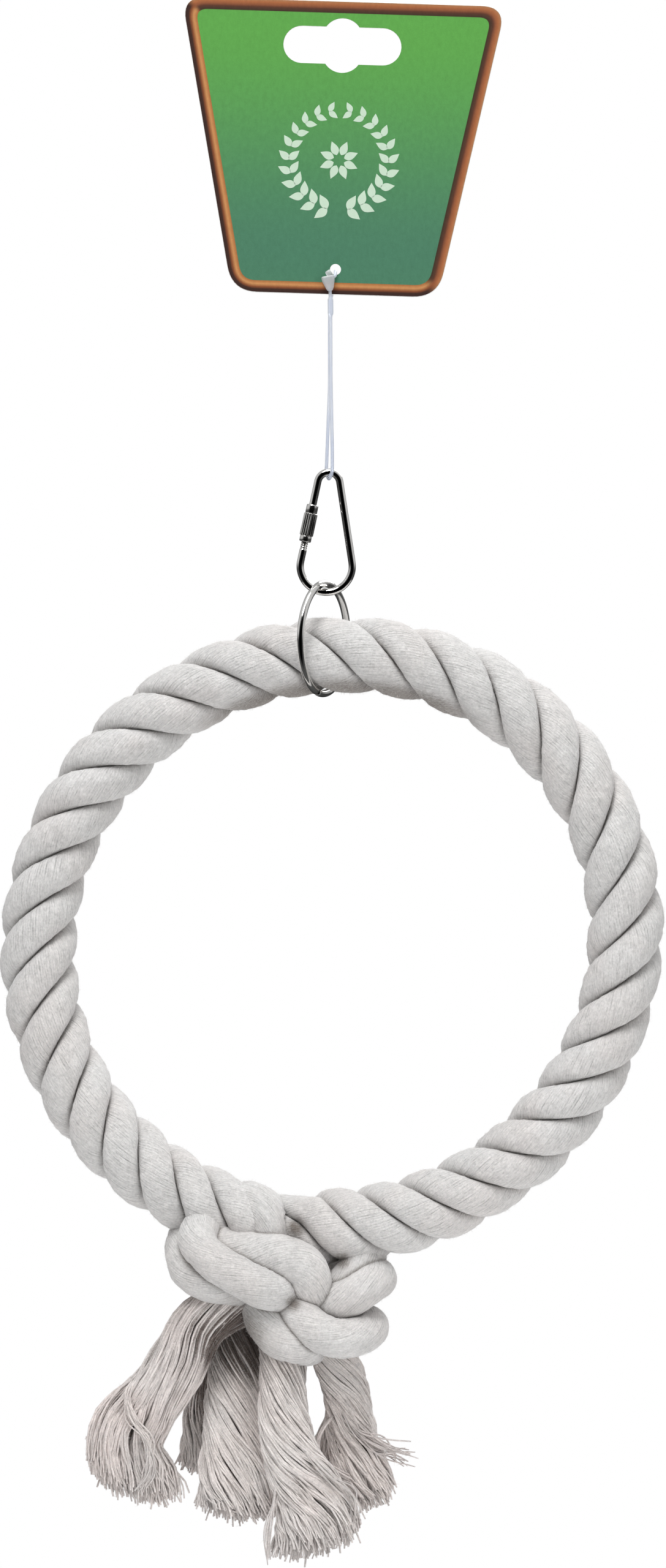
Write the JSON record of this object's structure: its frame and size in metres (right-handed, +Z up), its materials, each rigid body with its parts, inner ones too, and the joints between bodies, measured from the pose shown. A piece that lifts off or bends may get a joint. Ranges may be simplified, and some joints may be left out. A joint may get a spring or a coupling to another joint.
{
  "type": "rope bird ring",
  "caption": "Ring perch of thick laid cotton rope closed by a knot with loose tails, hung by a wire ring and a screw quick link from a slotted header card.",
  "frame": {"origin": "point on the hanging slot's upper edge, at mid thickness of the card, where a peg carries the object", "axes": "+Z up along the hanging line, +X to the right seen from the front, front of the card toward -Y"},
  "size_m": [0.1788, 0.0371, 0.423],
  "materials": {
    "card": "printed green board with a copper-coloured border",
    "loop_plastic": "translucent moulded plastic",
    "link_steel": "bright nickel plate",
    "nut_steel": "fluted nickel plate",
    "ring_steel": "bright nickel plate",
    "cotton_rope": "matte undyed cotton strand",
    "cotton_tail": "loose undyed cotton yarn"
  },
  "bodies": {
    "card": {"header_card": "card"},
    "loop": {"tag_loop": "loop_plastic"},
    "link": {"link_body": "link_steel"},
    "nut": {"link_sleeve_nut": "nut_steel"},
    "ring": {"metal_ring": "ring_steel"},
    "rope": {"rope_strand_1": "cotton_rope", "rope_strand_2": "cotton_rope", "rope_strand_3": "cotton_rope", "knot_front_diagonal": "cotton_rope", "knot_lower_right": "cotton_rope", "knot_front_arch": "cotton_rope", "knot_right_side": "cotton_rope", "knot_left_side": "cotton_rope", "knot_bottom_turn": "cotton_rope", "knot_right_crescent": "cotton_rope", "tail_front_right": "cotton_tail", "tail_front_left": "cotton_tail", "tail_middle_left": "cotton_tail", "tail_right": "cotton_tail", "tail_back_left": "cotton_tail", "tail_back_right": "cotton_tail"}
  },
  "joints": [
    {"name": "loop_swing", "type": "hinge", "parent": "card", "child": "loop", "pos_m": [0, 0, -0.0681], "axis": [0, 1, 0], "range_deg": [-60, 60]},
    {"name": "link_swing", "type": "hinge", "parent": "loop", "child": "link", "pos_m": [0, 0, -0.1231], "axis": [1, 0, 0], "range_deg": [-60, 60]},
    {"name": "nut_travel", "type": "slide", "parent": "link", "child": "nut", "axis": [0.1804, 0, 0.9836], "range_m": [0, 0.006]},
    {"name": "ring_swing", "type": "hinge", "parent": "link", "child": "ring", "pos_m": [0, 0, -0.1556], "axis": [1, 0, 0], "range_deg": [-45, 45]},
    {"name": "rope_rock", "type": "hinge", "parent": "ring", "child": "rope", "pos_m": [0, 0, -0.1831], "axis": [0.4226, 0.9063, 0], "range_deg": [-15, 15]}
  ]
}
